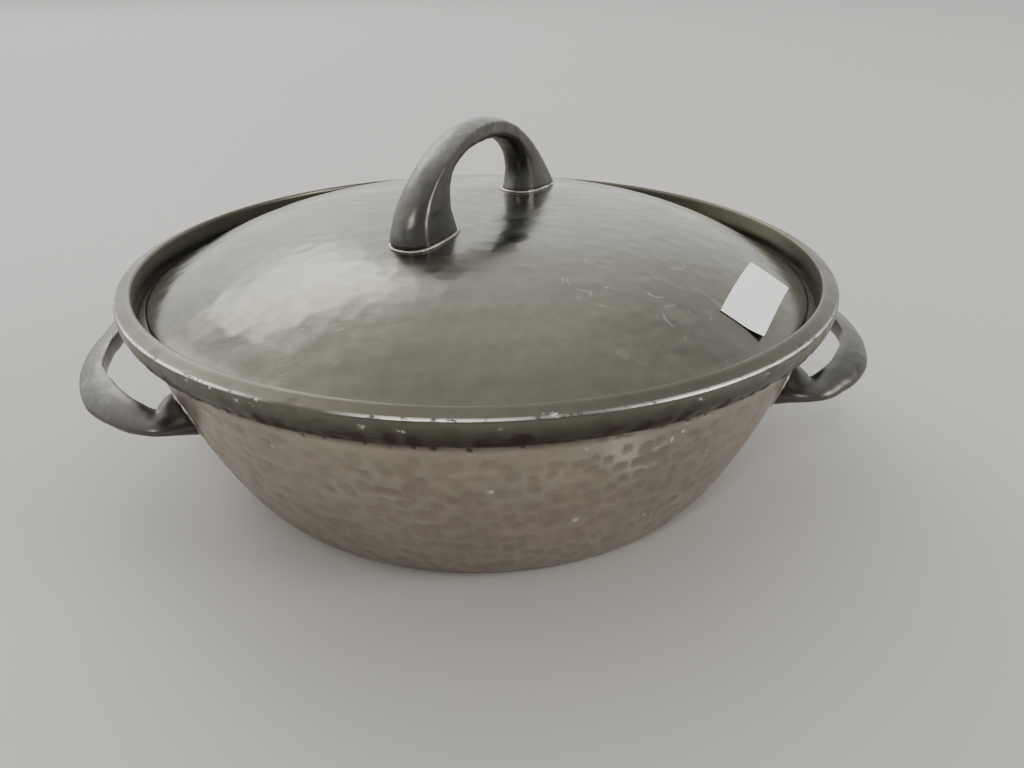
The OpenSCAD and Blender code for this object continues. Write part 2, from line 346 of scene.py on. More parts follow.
class Metal:
    """One procedural finish, a metal unless it is told otherwise, built up in object space."""

    def __init__(self, name, colour, roughness):
        self.material = bpy.data.materials.new(name)
        self.material.use_nodes = True
        self.nodes = self.material.node_tree.nodes
        self.links = self.material.node_tree.links
        self.nodes.clear()
        self.out = self.nodes.new("ShaderNodeOutputMaterial")
        self.shader = self.nodes.new("ShaderNodeBsdfPrincipled")
        self.links.new(self.shader.outputs[0], self.out.inputs[0])
        self.shader.inputs["Metallic"].default_value = 1.0
        self.place = self.nodes.new("ShaderNodeTexCoord").outputs["Object"]
        self.colour = self.rgb(colour)
        self.rough = roughness
        self.height = None

    def rgb(self, colour):
        return (*colour[:3], 1.0)

    def put(self, value, socket):
        """Links a socket, or sets a plain value."""
        if isinstance(value, bpy.types.NodeSocket):
            self.links.new(value, socket)
        else:
            socket.default_value = value

    def noise(self, scale, detail=4.0, roughness=0.55, stretch=None, offset=(0, 0, 0)):
        node = self.nodes.new("ShaderNodeTexNoise")
        node.inputs["Scale"].default_value = scale
        node.inputs["Detail"].default_value = detail
        node.inputs["Roughness"].default_value = roughness
        place = self.nodes.new("ShaderNodeMapping")
        place.inputs["Location"].default_value = offset
        place.inputs["Scale"].default_value = stretch or (1, 1, 1)
        self.links.new(self.place, place.inputs["Vector"])
        self.links.new(place.outputs[0], node.inputs["Vector"])
        return node.outputs["Fac"]

    def arcs(self, size, thin):
        """Thin arcs scattered about, each part of a ring about that size across."""
        cells = self.nodes.new("ShaderNodeTexVoronoi")
        cells.inputs["Scale"].default_value = 1 / size
        self.links.new(self.place, cells.inputs["Vector"])
        off_ring = self.math("ABSOLUTE", self.math("SUBTRACT", cells.outputs["Distance"], 0.42))
        return self.steps(off_ring, thin * 0.3, thin, 1.0, 0.0)

    def mask(self, name):
        node = self.nodes.new("ShaderNodeAttribute")
        node.attribute_name = name
        return node.outputs["Fac"]

    def steps(self, value, low, high, to_low=0.0, to_high=1.0):
        """Maps value from low..high to another range, held at the ends."""
        node = self.nodes.new("ShaderNodeMapRange")
        self.put(value, node.inputs["Value"])
        node.inputs["From Min"].default_value = low
        node.inputs["From Max"].default_value = high
        node.inputs["To Min"].default_value = to_low
        node.inputs["To Max"].default_value = to_high
        return node.outputs["Result"]

    def math(self, kind, a, b=0.0):
        node = self.nodes.new("ShaderNodeMath")
        node.operation = kind
        self.put(a, node.inputs[0])
        self.put(b, node.inputs[1])
        return node.outputs[0]

    def mix(self, share, other, kind="MIX"):
        """Lays another colour over what is there."""
        node = self.nodes.new("ShaderNodeMix")
        node.data_type = "RGBA"
        node.blend_type = kind
        self.put(share, node.inputs["Factor"])
        self.put(self.colour, node.inputs["A"])
        self.put(self.rgb(other) if isinstance(other, (tuple, list)) else other, node.inputs["B"])
        self.colour = node.outputs["Result"]

    def tint(self, value, low, high):
        """Shades the colour by a value, between two shares of itself."""
        self.mix(1.0, self.steps(value, 0.3, 0.7, low, high), "MULTIPLY")

    def stain(self, mask, low, high, share, colour):
        """Lays a colour on where a mask rises from low to high, up to that share."""
        self.mix(self.steps(self.mask(mask), low, high, 0.0, share), tuple(colour))

    def roughen(self, value, low, high):
        self.rough = self.math("ADD", self.steps(value, 0.3, 0.7, low, high), self.rough)

    def raise_by(self, value, amount):
        """Adds to the fine relief, in metres."""
        part = self.math("MULTIPLY", value, amount)
        self.height = part if self.height is None else self.math("ADD", self.height, part)

    def done(self):
        self.put(self.colour, self.shader.inputs["Base Color"])
        self.put(self.rough, self.shader.inputs["Roughness"])
        if self.height is not None:
            bump = self.nodes.new("ShaderNodeBump")
            bump.inputs["Strength"].default_value = 1.0
            bump.inputs["Distance"].default_value = 1.0
            self.links.new(self.height, bump.inputs["Height"])
            self.links.new(bump.outputs[0], self.shader.inputs["Normal"])
        return self.material


def aged(name, colour, roughness, mottle=28, contrast=0.12):
    """Pewter with an uneven grey skin: broad clouds, fine grain and faint handling scratches."""
    metal = Metal(name, colour, roughness)
    metal.tint(metal.noise(mottle, 5), 1 - contrast, 1 + contrast)
    metal.tint(metal.noise(240, 3, offset=(3, 1, 2)), 1 - contrast * 0.5, 1 + contrast * 0.5)
    metal.roughen(metal.noise(60, 4, offset=(1, 5, 2)), -0.05, 0.07)
    metal.raise_by(metal.noise(1500, 3), 0.000012)
    scratch = metal.noise(90, 2, stretch=(0.6, 14, 10), offset=(7, 2, 1))
    metal.raise_by(metal.steps(scratch, 0.66, 0.70), -0.000012)
    return metal


def bright_metal_and_highlight(metal, mask, low, high, scale):
    """Shows bright metal where the mask and a fine noise together are high: worn metal, and along the
    rim's arris a painted highlight too.
    """
    worn = metal.math("MULTIPLY", mask, metal.steps(metal.noise(scale, 5, 0.7), low, high))
    metal.mix(worn, tuple(finish().bright))
    metal.rough = metal.math("ADD", metal.rough, metal.math("MULTIPLY", worn, 0.1))


def hammered_pewter():
    metal = aged("hammered_pewter", finish().bowl_tone_and_reflection, 0.40, contrast=0.12)
    metal.stain("hollow", 0.1, 1.1, 0.12, finish().patina)
    metal.stain("hollow", 1.15, 1.5, 0.75, finish().patina)
    # Painted shade in patina colour on the wall just under the rim.
    metal.stain("grime_and_shade", 0.0, 1.0, 0.92, finish().patina)
    metal.stain("chip", 0.2, 1.0, 0.9, finish().bright)
    # Bare ridges lightened: rubbed metal and painted highlight, brightest at two painted highlight
    # spots on the front.
    metal.stain("ridge_rub_and_highlight", 0.0, 4.0, 0.44, finish().bright)
    bright_metal_and_highlight(metal, metal.steps(metal.noise(38, 2, offset=(9, 4, 4)), 0.64, 0.72), 0.56, 0.66, 700)
    return metal.done()


def rim_pewter():
    metal = aged("rim_pewter", finish().lid_metal, 0.34, contrast=0.12)
    metal.stain("hollow", 0.2, 1.0, 0.78, finish().patina)
    # Painted shade in patina colour on the rim's lower face and on its top.
    metal.stain("grime_and_shade", 0.0, 0.8, 0.95, finish().patina)
    # Worn metal along the rim's arris, with a painted highlight laid on the same lines.
    bright_metal_and_highlight(metal, metal.mask("wear_and_highlight"), 0.36, 0.46, 260)
    bright_metal_and_highlight(metal, metal.mask("nick"), 0.48, 0.56, 900)
    return metal.done()


def planished_pewter():
    metal = aged("planished_pewter", finish().lid_metal, 0.215, mottle=16, contrast=0.12)
    # Painted shade in patina colour round the lid's edge, where it sits in the rim.
    metal.stain("grime_and_shade", 0.0, 1.0, 0.7, finish().patina)
    streak = metal.noise(30, 4, stretch=(0.5, 3.0, 3.0), offset=(4, 4, 1))
    metal.roughen(streak, -0.04, 0.06)
    metal.tint(streak, 0.90, 1.10)
    crescent = metal.arcs(0.0125, 0.035)
    broken = metal.steps(metal.noise(110, 3, offset=(6, 1, 8)), 0.52, 0.60)
    struck = metal.math("MULTIPLY", metal.math("MULTIPLY", crescent, broken), metal.mask("struck"))
    metal.mix(metal.math("MULTIPLY", struck, 0.2), tuple(finish().bright))
    metal.raise_by(struck, -0.00005)
    return metal.done()


def inner_pewter():
    return aged("inner_pewter", finish().lid_metal, 0.5, contrast=0.14).done()


def cast_pewter():
    metal = aged("cast_pewter", finish().cast_metal, 0.34, mottle=45, contrast=0.16)
    # Painted shade in patina colour where the handles meet the lid and the bowl.
    metal.stain("grime_and_shade", 0.0, 1.0, 0.6, finish().patina)
    bright_metal_and_highlight(metal, metal.mask("wear_and_highlight"), 0.52, 0.66, 420)
    return metal.done()


def solder_metal():
    metal = aged("solder", finish().solder, 0.45, mottle=220, contrast=0.45)
    metal.raise_by(metal.noise(700, 3, offset=(2, 2, 5)), 0.0002)
    return metal.done()


def label_paper():
    paper = Metal("label_paper", finish().paper, 0.75)
    paper.shader.inputs["Metallic"].default_value = 0.0
    paper.tint(paper.noise(900, 4), 0.96, 1.0)
    paper.raise_by(paper.noise(2500, 3), 0.00001)
    return paper.done()


# ---------------------------------------------------------------- pieces of the bowl


UPRIGHT = np.array((0, 0, 1.0))


def on_wall(degrees, height):
    """The point on the bowl's wall at that direction and height."""
    a = math.radians(degrees)
    r = bowl.outside(height)
    return (r * math.cos(a), r * math.sin(a), height)


def blows_round(rng, rows, pitch, length, height, deep, radius_at, slope_at):
    """Hammer blows in uneven rows round the bowl."""
    blows = []
    for z in rows:
        r = radius_at(z)
        count = int(2 * math.pi * r / pitch)
        start = rng.uniform(0, 2 * math.pi)
        for k in range(count):
            if rng.random() < 0.07:
                continue
            a = start + 2 * math.pi * (k + rng.uniform(-0.3, 0.3)) / count
            h = z + rng.uniform(-0.35, 0.35) * height
            lean = slope_at(h)
            spot = (radius_at(h) * math.cos(a), radius_at(h) * math.sin(a), h)
            tip = rng.uniform(-0.35, 0.35)
            round_way = ways_at(a)[1]
            up_way = np.array(
                (math.cos(a) * math.sin(lean), math.sin(a) * math.sin(lean), math.cos(lean))
            )
            across = round_way * math.cos(tip) + up_way * math.sin(tip)
            up = up_way * math.cos(tip) - round_way * math.sin(tip)
            blows.append((
                spot, across, up,
                length / 2 * rng.uniform(0.7, 1.25), height / 2 * rng.uniform(0.75, 1.25),
                deep * rng.uniform(0.45, 1.2),
            ))
    return blows


# Chips on the front of the wall: direction in degrees, height and size in mm
FRONT_CHIPS = (
    (-80.8, 61.6, 0.8), (-93.2, 48, 1.0), (-80.2, 31, 1.3), (-68, 58, 1.1), (-66.5, 60, 0.7)
)
SCATTERED_CHIPS = 44
# Painted highlights on the bowl's ridges: direction in degrees and height in mm
HIGHLIGHT_SPOTS = ((-72.5, 53), (-75.8, 59))
HIGHLIGHT_SIZE = 4.5 * MM


class PEWTER_OT_bowl(bpy.types.Operator):
    """Raise the bowl and hammer its wall"""

    bl_idname = "pewter.bowl"
    bl_label = "Bowl"

    def execute(self, context):
        s = sizes()
        rng = random.Random(s.seed)
        heights = np.linspace(0.4 * MM, BOWL_TOP - 0.4 * MM, 96)
        wall = [(bowl.outside(z), z) for z in heights]
        base = [(r, 0.0) for r in np.linspace(0, wall[0][0] - 2.2 * MM, 8)]
        lip = [(bowl.outside(BOWL_TOP - 0.2 * MM), BOWL_TOP)]
        inner = [
            (bowl.outside(z) - s.bowl_wall * 1.05, max(z, s.bowl_wall + 0.3 * MM))
            for z in np.linspace(BOWL_TOP, 3.0 * MM, 12)
        ]
        floor_r = inner[-1][0] - 4 * MM
        floor = [(r, s.bowl_wall) for r in np.linspace(floor_r, 0, 5)]
        outline = base + wall + lip + inner + floor
        piece = spin_profile("bowl_hammered", outline, 720)
        co, no = points_of(piece), normals_of(piece)
        r = np.hypot(co[:, 0], co[:, 1])
        outer = (no[:, 0] * co[:, 0] + no[:, 1] * co[:, 1]) / np.maximum(r, 1e-6) > -0.1
        outer &= co[:, 2] < BOWL_TOP - 0.3 * MM
        rows = list(np.arange(5 * MM, BOWL_TOP - 5 * MM, s.mark_height * 0.95))

        def lean(z):
            return math.atan2(
                bowl.outside(min(z + MM, BOWL_TOP - MM)) - bowl.outside(z - MM), 2 * MM
            )

        blows = blows_round(
            rng, rows, s.mark_length * 1.02, s.mark_length, s.mark_height, s.mark_depth,
            bowl.outside, lean,
        )
        under_rim = blows_round(
            rng, [RIM_LOW - 2.2 * MM], 3.6 * MM, 2.6 * MM, 2.2 * MM, 0.48 * MM, bowl.outside, lean
        )
        depth = np.zeros(len(co))
        depth[outer] = hammer(co[outer], blows + under_rim)
        chips = list(FRONT_CHIPS)
        chips += [
            (rng.uniform(-180, 180), rng.uniform(8, 62), rng.uniform(0.3, 0.8))
            for _ in range(SCATTERED_CHIPS)
        ]
        chip = hammer(co, [
            (
                on_wall(a, z * MM), ways_at(math.radians(a))[1], UPRIGHT,
                size * MM, size * 1.3 * MM, 1.0,
            )
            for a, z, size in chips
        ], crisp=False)
        fade = np.clip((co[:, 2] - 2.5 * MM) / (4 * MM), 0, 1)
        depth *= fade
        uneven = 0.25 * MM * waver(co, 55 * MM, s.seed) * np.clip(co[:, 2] / (12 * MM), 0, 1)
        uneven *= np.clip((BOWL_TOP - 2 * MM - co[:, 2]) / (8 * MM), 0, 1)
        move_points(piece, co - no * depth[:, None] + no * uneven[:, None] * outer[:, None])
        keep_mask(piece, "hollow", depth / s.mark_depth)
        keep_mask(piece, "chip", chip * outer)
        # Painted highlights: two bright spots on the front of the wall, added to the bare ridges, which
        # are lightened as rubbed metal and painted highlight.
        glow = np.zeros(len(co))
        for a, z in HIGHLIGHT_SPOTS:
            spot = on_wall(a, z * MM)
            glow += np.exp(-((co - spot) ** 2).sum(axis=1) / (2 * HIGHLIGHT_SIZE**2))
        bare = 1 - np.clip(depth / (0.12 * MM), 0, 1)
        patches = np.clip(waver(co, 30 * MM, 8) * 3 - 0.4, 0, 1)
        keep_mask(piece, "ridge_rub_and_highlight", outer * (0.2 + 0.4 * patches + 3 * glow) * bare)
        # Painted shade: a band of the wall just under the rim is darkened, where the rim's overhang
        # shades it.
        grime_and_shade = np.clip(1 - (RIM_LOW - 0.5 * MM - co[:, 2]) / (3.4 * MM), 0, 1) * outer
        keep_mask(piece, "grime_and_shade", grime_and_shade)
        smooth(piece)
        place(piece, "bowl", "hammered_pewter", hammered_pewter(), "bowl_shell")
        return {"FINISHED"}


RIM_WIDTH = 6 * MM
LIP_OVERHANG = 0.4 * MM
RIM_BACK = 1.2 * MM
ARRIS_DROP = 1.85 * MM    # the bright line below the rim's top: a worn arris with a painted highlight
SECOND_DROP = 4.8 * MM    # a second, rarer bright line: worn metal with a painted highlight
NICKS = 60


class PEWTER_OT_rim(bpy.types.Operator):
    """Turn the rim, chase its lower edge, brighten its worn corner with a painted highlight and darken
    its face with painted shade
    """

    bl_idname = "pewter.rim"
    bl_label = "Rim"

    def execute(self, context):
        s = sizes()
        rng = random.Random(s.seed + 1)
        lip_r = RIM_R - RIM_WIDTH
        channel_r = lip_r - LIP_OVERHANG
        collar_r = channel_r - RIM_BACK
        high, low = RIM_TOP, RIM_LOW
        outline = [
            (collar_r, low + 0.3 * MM), (collar_r + 1.2 * MM, low),
            (collar_r + 2.6 * MM, low + 0.3 * MM), (RIM_R - 3.5 * MM, low + 1.2 * MM),
            (RIM_R - 1.7 * MM, low + 3.2 * MM),
            (RIM_R - 0.5 * MM, low + 5.8 * MM), (RIM_R - 0.05 * MM, high - 4.6 * MM),
            (RIM_R, high - 3.2 * MM),
        ]
        corner = [
            (RIM_R, high - 3.2 * MM), (RIM_R - 0.08 * MM, high - 2.4 * MM),
            (RIM_R - 0.3 * MM, high - 1.95 * MM), (RIM_R - 0.7 * MM, high - 1.65 * MM),
            (RIM_R - 1.3 * MM, high - 1.4 * MM),
        ]
        top = [
            (RIM_R - 1.3 * MM, high - 1.4 * MM), (lip_r + 1.9 * MM, high - 0.4 * MM),
            (lip_r + 1.0 * MM, high), (lip_r + 0.3 * MM, high - 0.2 * MM),
            (lip_r, high - 0.8 * MM), (channel_r, high - 9 * MM), (channel_r, BOWL_TOP),
            (collar_r, BOWL_TOP), outline[0],
        ]
        points = spaced(outline, 0.9 * MM) + spaced(corner, 0.28 * MM)[1:] + spaced(top, 1.0 * MM)[1:-1]
        piece = spin_profile("rim_worn", points, 900, closed=True)
        co, no = points_of(piece), normals_of(piece)
        r = np.hypot(co[:, 0], co[:, 1])
        outer = (no[:, 0] * co[:, 0] + no[:, 1] * co[:, 1]) / r > 0.2

        def flat(z):
            return 0.0

        blows = blows_round(
            rng, [low + 3.1 * MM], 5.4 * MM, 6.0 * MM, 3.9 * MM, 0.55 * MM, rim.outside, flat
        ) + blows_round(
            rng, [low + 6.4 * MM, low + 8.6 * MM], 9 * MM, 6.5 * MM, 4 * MM, 0.16 * MM,
            rim.outside, flat,
        )
        depth = np.zeros(len(co))
        depth[outer] = hammer(co[outer], blows)
        nicks = []
        for _ in range(NICKS):
            a = rng.uniform(0, 2 * math.pi)
            z = high - rng.uniform(0.8, 5) * MM
            spot = ((RIM_R - 0.5 * MM) * math.cos(a), (RIM_R - 0.5 * MM) * math.sin(a), z)
            nicks.append((
                spot, ways_at(a)[1], UPRIGHT,
                rng.uniform(0.5, 1.2) * MM, rng.uniform(0.4, 0.8) * MM, rng.uniform(0.1, 0.25) * MM,
            ))
        nick = hammer(co, nicks)
        wave = 0.22 * MM * waver(co, 70 * MM, s.seed + 2) - 0.22 * MM
        way = np.stack([co[:, 0] / r, co[:, 1] / r, np.zeros(len(r))], 1)
        outside = (r > RIM_R - 2.5 * MM)[:, None]
        move_points(piece, co - no * (depth + nick)[:, None] + way * wave[:, None] * outside)
        keep_mask(piece, "hollow", depth / (0.4 * MM))
        # Bright lines round the arris: worn metal, and a painted highlight that stands in for the
        # light's reflection along the edge.
        line = 1.5 - np.abs(co[:, 2] - (high - ARRIS_DROP)) / (0.22 * MM)
        second = 1.3 - np.abs(co[:, 2] - (high - SECOND_DROP)) / (0.5 * MM)
        broken = np.clip(0.85 + 1.6 * waver(co, 60 * MM, s.seed + 8), 0, 1)
        rare = np.clip(2.5 * waver(co, 45 * MM, s.seed + 9) - 0.7, 0, 1)
        outer_edge = r > RIM_R - 2.6 * MM
        worn = np.clip(line, 0, 1) * broken + np.clip(second, 0, 1) * rare
        keep_mask(piece, "wear_and_highlight", np.clip(worn * outer_edge, 0, 1))
        keep_mask(piece, "nick", np.clip(nick / (0.2 * MM), 0, 1))
        # Painted shade: the outer face is darker towards its lower edge, standing for the dark table
        # that it reflects, and the rim's upward faces are darkened as well.
        height = (co[:, 2] - low) / (9 * MM)
        top_shade = 0.34 * (no[:, 2] > 0.5) * (r > lip_r)
        keep_mask(piece, "grime_and_shade", np.maximum((1 - np.clip(height, 0, 1)) ** 0.9 * outer, top_shade))
        smooth(piece)
        place(piece, "bowl", "rim_pewter", rim_pewter(), "rim_band")
        return {"FINISHED"}


SEAT_WIDTH = 9.8 * MM
RING_THICKNESS = 1.8 * MM


class PEWTER_OT_rings(bpy.types.Operator):
    """Turn the seat in the bowl and the locating ring under the lid"""

    bl_idname = "pewter.rings"
    bl_label = "Seat and locating ring"

    def execute(self, context):
        metal = inner_pewter()
        for node, body, width in (
            ("lid_seat_ring", "bowl", SEAT_WIDTH), ("lid_locating_ring", "lid_ring", RING_THICKNESS)
        ):
            low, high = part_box(node)
            gauge = Gauge(node)
            out_r = high.y
            in_r = out_r - width
            top_out, top_in = gauge.top(out_r - 0.2 * MM), gauge.top(in_r + 0.2 * MM)
            ease = 0.25 * MM
            outline = [
                (in_r, low.z + ease), (in_r + ease, low.z), (out_r - ease, low.z),
                (out_r, low.z + ease), (out_r, top_out - ease), (out_r - ease, top_out),
                (in_r + ease, top_in), (in_r, top_in - ease),
            ]
            piece = spin_profile(node + "_turned", outline, 360, closed=True)
            smooth(piece, math.radians(50))
            place(piece, body, "inner_pewter", metal, node)
        return {"FINISHED"}


# ---------------------------------------------------------------- handles


# Sections as (outward, sideways) points, with the crease kept on the sharp ones
STRAP_SECTION = {
    (1.0, 0.0): 0, (0.93, 0.5): 0, (0.68, 0.93): 0.8, (0.1, 1.0): 0, (-0.6, 0.92): 0.3,
    (-0.93, 0.5): 0, (-1.0, 0.0): 0, (-0.93, -0.5): 0, (-0.6, -0.92): 0.3, (0.1, -1.0): 0,
    (0.68, -0.93): 0.8, (0.93, -0.5): 0,
}
LOOP_SECTION = {
    (0.72, 0.0): 0, (0.5, 0.45): 0, (0.15, 0.82): 0, (-0.3, 1.0): 0, (-0.72, 0.8): 0,
    (-0.95, 0.4): 0, (-1.0, -0.1): 0, (-0.85, -0.6): 0, (-0.35, -0.95): 0.2, (0.3, -1.0): 0,
    (0.88, -0.84): 0.75, (0.92, -0.42): 0,
}


def straight_bar(name, stations, section):
    """A straight bar of unit section along X, drawn out of one section and creased on its arrises."""
    start_clean()
    bpy.ops.mesh.primitive_circle_add(
        vertices=len(section), radius=1, fill_type="NGON", rotation=(0, math.pi / 2, 0)
    )
    piece = bpy.context.object
    piece.name = piece.data.name = name
    bpy.ops.object.transform_apply(location=True, rotation=True)
    for v, (out, side) in zip(piece.data.vertices, section):
        v.co = (0, side, out)
    bpy.ops.object.mode_set(mode="EDIT")
    bpy.ops.mesh.select_all(action="SELECT")
    for _ in range(stations):
        bpy.ops.mesh.extrude_region_move(TRANSFORM_OT_translate={"value": (1, 0, 0)})
    mesh = bmesh.from_edit_mesh(piece.data)
    crease = mesh.edges.layers.float.new("crease_edge")
    for edge in mesh.edges:
        a, b = (v.co for v in edge.verts)
        if abs(a.x - b.x) > 0.5:
            for (out, side), amount in section.items():
                if math.hypot(a.y - side, a.z - out) < 1e-4:
                    edge[crease] = amount
    bmesh.update_edit_mesh(piece.data)
    bpy.ops.mesh.select_all(action="SELECT")
    bpy.ops.mesh.normals_make_consistent(inside=False)
    bpy.ops.object.mode_set(mode="OBJECT")
    rounding = piece.modifiers.new("rounding", "SUBSURF")
    rounding.levels = rounding.render_levels = 2
    apply_all(piece)
    co = points_of(piece)
    co[:, 1:] /= np.abs(co[:, 1:]).max(axis=0)
    move_points(piece, co)
    return piece


def bend_onto(piece, count, station):
    """Lays the straight bar along a path: station(t) gives the centre, the outward and the
    sideways half axes for t from 0 to 1."""
    co = points_of(piece)
    knots = np.linspace(0, 1, count * 4 + 1)
    frames = np.array([[*station(t)] for t in knots])
    t = np.clip(co[:, 0] / count, 0, 1)
    laid = np.zeros_like(co)
    for axis in range(3):
        centre = np.interp(t, knots, frames[:, 0, axis])
        out = np.interp(t, knots, frames[:, 1, axis])
        side = np.interp(t, knots, frames[:, 2, axis])
        laid[:, axis] = centre + co[:, 2] * out + co[:, 1] * side
    move_points(piece, laid)
    face_outward(piece)


def bezier(p, t):
    p = np.array(p, float)
    return (
        (1 - t) ** 3 * p[0] + 3 * t * (1 - t) ** 2 * p[1] + 3 * t * t * (1 - t) * p[2] + t**3 * p[3]
    )


def turned(v, angle):
    c, s = math.cos(angle), math.sin(angle)
    return np.array((v[0] * c - v[1] * s, v[0] * s + v[1] * c, v[2]))


LID_TURN = math.radians(58)
STRAP_SPAN = 110 * MM
STRAP_LEAN = 4 * MM
FOOT_LENGTH = 31 * MM
STRAP_WIDTH = 11 * MM
STRAP_THICK = 7.8 * MM
FOOT_SINK = 2.5 * MM
FOOT_FLARE = 0.55
BACK_DRAW = 14 * MM     # how far each foot's outside draws in as it rises
FRONT_DRAW = -2 * MM
IN_DRAW = 10.8 * MM     # how far the inside draws out from a foot
OUT_RISE = 0.5          # share of the height that each curve's foot end pulls up by
IN_RISE = 0.83
CROWN_OUT = 0.225       # half length of the level crown, as shares of the span
BACK_CROWN_IN = 0.1
FRONT_CROWN_IN = 0.22


def strap_station(t):
    """The strap at t from 0, the back foot, to 1, the front foot."""
    h = 2 * min(t, 1 - t)
    side = -1 if t > 0.5 else 1
    foot_z = LID_TOP - FOOT_SINK
    crown = CROWN + 0.5 * MM
    inner_z = crown - STRAP_THICK
    foot_out = STRAP_SPAN / 2 + MM + side * STRAP_LEAN / 2
    foot_in = foot_out - FOOT_LENGTH
    outer = bezier([
        (foot_out, foot_z),
        (foot_out - (BACK_DRAW if side > 0 else FRONT_DRAW), foot_z + (crown - foot_z) * OUT_RISE),
        (STRAP_SPAN * CROWN_OUT, crown), (0, crown)], h)
    inner = bezier([
        (foot_in, foot_z), (foot_in + IN_DRAW, foot_z + (inner_z - foot_z) * IN_RISE),
        (STRAP_SPAN * (BACK_CROWN_IN if side > 0 else FRONT_CROWN_IN), inner_z),
        (0, inner_z)], h)
    centre, half = (outer + inner) / 2, (outer - inner) / 2
    width = STRAP_WIDTH / 2 * (1 + FOOT_FLARE * (1 - h) ** 4)
    return (
        turned((side * centre[0], 0, centre[1]), LID_TURN),
        turned((side * half[0], 0, half[1]), LID_TURN),
        turned((0, width, 0), LID_TURN),
    )


def planish(piece, seed, size, deep, count):
    """Covers a cast bar with small overlapping hammer marks."""
    co, no = points_of(piece), normals_of(piece)
    rng = random.Random(seed)
    blows = []
    for _ in range(count):
        i = rng.randrange(len(co))
        across = Vector(no[i]).orthogonal().normalized()
        up = Vector(no[i]).cross(across)
        half = size / 2 * rng.uniform(0.7, 1.3)
        blows.append((
            co[i].copy(), np.array(across), np.array(up), half, half * rng.uniform(0.7, 1.0),
            deep * rng.uniform(0.4, 1.2),
        ))
    move_points(piece, co - no * hammer(co, blows, crisp=False)[:, None])


def foot_outline(station, above, ts):
    """Where the skin of a bar first comes out of the metal under it: above(point) tells how far a
    point is outside that metal, and the stations ts run outward from inside it."""
    outline = []
    for q in np.linspace(0, 2 * math.pi, 60, endpoint=False):
        c, s = math.cos(q), math.sin(q)
        a, b = math.copysign(abs(c) ** 0.75, c), math.copysign(abs(s) ** 0.75, s)
        last = None
        for t in ts:
            centre, out, side = station(t)
            spot = centre + a * out + b * side
            gap = above(spot)
            if gap > 0 and last is not None:
                outline.append(last[0] + (spot - last[0]) * (-last[1] / (gap - last[1])))
                break
            if gap <= 0:
                last = (spot, gap)
    return np.array(outline)


def bead(name, outline, normal_at, size, seed):
    """A low uneven line of solder laid along a closed outline."""
    start_clean()
    bpy.ops.mesh.primitive_torus_add(
        major_segments=180, minor_segments=10, major_radius=1, minor_radius=0.25
    )
    piece = bpy.context.object
    piece.name = piece.data.name = name
    co = points_of(piece)
    turn = (np.arctan2(co[:, 1], co[:, 0]) / (2 * math.pi)) % 1
    count = len(outline)
    ring = np.vstack([outline, outline[:1]])
    middle = outline.mean(axis=0)
    at = np.stack([np.interp(turn * count, np.arange(count + 1), ring[:, k]) for k in range(3)], 1)
    up = np.array([normal_at(p) for p in at])
    away = at - middle
    away -= up * (away * up).sum(axis=1)[:, None]
    away /= np.linalg.norm(away, axis=1)[:, None]
    wide = (np.hypot(co[:, 0], co[:, 1]) - 1) / 0.25
    high = co[:, 2] / 0.25
    girth = size * (1 + 0.5 * waver(at, 7 * MM, seed) + 0.45 * waver(at, 2.5 * MM, seed + 1))
    move_points(piece, at + away * (wide * girth)[:, None] + up * (high * girth * 0.7)[:, None])
    face_outward(piece)
    smooth(piece)
    return piece


class PEWTER_OT_lid_handle(bpy.types.Operator):
    """Draw the lid's strap handle out of one section and bend it to its arch"""

    bl_idname = "pewter.lid_handle"
    bl_label = "Lid handle"

    def execute(self, context):
        count = 34
        piece = straight_bar("lid_strap", count, STRAP_SECTION)
        bend_onto(piece, count, strap_station)
        planish(piece, 14, 6.5 * MM, 0.14 * MM, 260)
        co = points_of(piece)
        dome = np.array([lid.top(min(math.hypot(x, y), LID_R - MM)) for x, y in co[:, :2]])
        under = dome - 0.8 * MM
        co[:, 2] = np.maximum(co[:, 2], under)
        no = normals_of(piece)
        co += no * (0.12 * MM * waver(co, 16 * MM, 4))[:, None]
        move_points(piece, co)
        # Painted shade: the strap is darkened close to the lid, where its feet meet it.
        low = np.clip(1 - (co[:, 2] - under - 0.8 * MM) / (1.6 * MM), 0, 1)
        keep_mask(piece, "grime_and_shade", low)
        keep_mask(piece, "wear_and_highlight", np.clip((co[:, 2] - CROWN + 9 * MM) / (9 * MM), 0, 1) * 0.12)
        smooth(piece, math.radians(60))
        place(piece, "lid", "cast_pewter", cast_pewter(), "lid_handle")
        return {"FINISHED"}


# The loop's measures from the middle of the bar to a root: shares of its reach, of half its span
# and of its fall, then its width and height as shares of the bar's
LOOP = [
    (1, 0, 0, 0.94, 0.98), (0.99, 0.27, 0, 0.94, 0.98), (0.9, 0.56, 0.07, 0.94, 1),
    (0.7, 0.79, 0.38, 1.18, 1.02), (0.44, 0.943, 0.68, 1, 1.02), (0.195, 1.003, 0.88, 1.08, 0.8),
    (0, 0.905, 0.95, 1.6, 1.6), (-0.15, 0.825, 0.9, 1.8, 1.8),
]
BAR_U = RIM_R + 11 * MM
BAR_Z = RIM_TOP - 29.2 * MM
ROOT_FALL = 5.2 * MM
LOOP_SPAN = 126 * MM
ROOT_IN = 6 * MM
BAR_WIDTH = 10 * MM
BAR_HEIGHT = 8.6 * MM


def loop_knot(x):
    """The loop's measures at x knots from the middle of the bar, smoothed through its points."""
    i = min(int(x), len(LOOP) - 2)
    t = x - i
    last = len(LOOP) - 1
    a, b, c, d = (np.array(LOOP[min(max(k, 0), last)], float) for k in (i - 1, i, i + 1, i + 2))
    return 0.5 * (
        2 * b + (c - a) * t + (2 * a - 5 * b + 4 * c - d) * t * t + (3 * b - a - 3 * c + d) * t**3
    )


